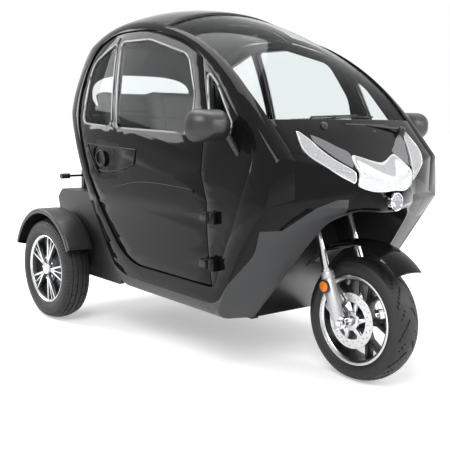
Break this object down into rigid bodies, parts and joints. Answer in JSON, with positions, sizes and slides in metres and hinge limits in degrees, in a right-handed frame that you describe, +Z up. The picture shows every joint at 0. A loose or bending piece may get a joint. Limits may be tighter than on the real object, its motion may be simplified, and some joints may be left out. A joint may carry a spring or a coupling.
{
  "type": "enclosed three-wheeled microcar",
  "caption": "Enclosed cabin scooter with one steered wheel in front, two wheels behind, swinging doors and a rounded glazed cabin.",
  "frame": {"origin": "on the ground, under the middle of the overall length, on the centre plane", "axes": "+X forward, +Y to the vehicle's left, +Z up"},
  "size_m": [2.087, 1.346, 1.4945],
  "materials": {
    "alloy": "machined faces, black pockets",
    "black_paint": "high gloss black",
    "black_plastic": "matte black, lightly grained",
    "clear_glass": "clear, lightly tinted",
    "disc_steel": "ground",
    "frame_steel": "semi-gloss black",
    "grey_plastic": "satin dark grey, lightly grained",
    "lamp_clear": "clear ribbed lens",
    "lamp_red": "red lens",
    "polished_steel": "polished",
    "seat_leather": "black leatherette",
    "tyre_rubber": "matte"
  },
  "bodies": {
    "root": {"battery_block": "black_plastic", "body_ring_left": "black_paint", "body_ring_right": "black_paint", "chassis_frame": "frame_steel", "cowl_panel": "black_paint", "dashboard": "black_plastic", "door_hinges_left": "frame_steel", "door_hinges_right": "frame_steel", "driver_seat": "seat_leather", "floor_tub": "grey_plastic", "fog_lamp": "lamp_clear", "headlamp": "lamp_clear", "leg_shield": "black_plastic", "mirror_left": "black_plastic", "mirror_right": "black_plastic", "nose_fairing": "black_paint", "nose_skirt_left": "grey_plastic", "nose_skirt_right": "grey_plastic", "quarter_panel_left": "black_paint", "quarter_panel_right": "black_paint", "quarter_window_left": "clear_glass", "quarter_window_right": "clear_glass", "rear_axle": "frame_steel", "rear_fender_left": "grey_plastic", "rear_fender_right": "grey_plastic", "rear_indicator_left": "black_paint", "rear_indicator_right": "black_paint", "rear_panel": "grey_plastic", "rear_seat": "seat_leather", "rear_window": "clear_glass", "roof_panel": "black_paint", "running_lamp_left": "lamp_clear", "running_lamp_right": "lamp_clear", "steering_head": "frame_steel", "tail_box": "grey_plastic", "tail_lamps": "lamp_red", "windscreen": "clear_glass"},
    "door_right": {"door_right": "black_paint", "door_window_right": "clear_glass", "door_handle_right": "black_paint"},
    "door_left": {"door_left": "black_paint", "door_window_left": "clear_glass", "door_handle_left": "black_paint"},
    "fork": {"fork_legs": "polished_steel", "handlebar": "frame_steel", "front_fender": "black_paint", "brake_caliper": "alloy"},
    "front_wheel": {"front_tyre": "tyre_rubber", "front_rim": "alloy", "brake_disc": "disc_steel"},
    "rear_wheel_right": {"rear_tyre_right": "tyre_rubber", "rear_rim_right": "alloy"},
    "rear_wheel_left": {"rear_tyre_left": "tyre_rubber", "rear_rim_left": "alloy"}
  },
  "joints": [
    {"name": "steering", "type": "hinge", "parent": "root", "child": "fork", "pos_m": [0.73143, 0, 0.243], "axis": [-0.3746, 0, 0.9272], "range_deg": [-35, 35]},
    {"name": "front_wheel_spin", "type": "hinge", "parent": "fork", "child": "front_wheel", "pos_m": [0.80045, 0, 0.243], "axis": [0, 1, 0], "continuous": true},
    {"name": "rear_wheel_right_spin", "type": "hinge", "parent": "root", "child": "rear_wheel_right", "pos_m": [-0.76155, -0.507, 0.247], "axis": [0, 1, 0], "continuous": true},
    {"name": "rear_wheel_left_spin", "type": "hinge", "parent": "root", "child": "rear_wheel_left", "pos_m": [-0.76155, 0.507, 0.247], "axis": [0, 1, 0], "continuous": true},
    {"name": "door_right_swing", "type": "hinge", "parent": "root", "child": "door_right", "pos_m": [0.46245, -0.514, 0.55], "axis": [0, 0, 1], "range_deg": [0, 65]},
    {"name": "door_left_swing", "type": "hinge", "parent": "root", "child": "door_left", "pos_m": [0.46245, 0.514, 0.55], "axis": [0, 0, -1], "range_deg": [0, 65]}
  ]
}
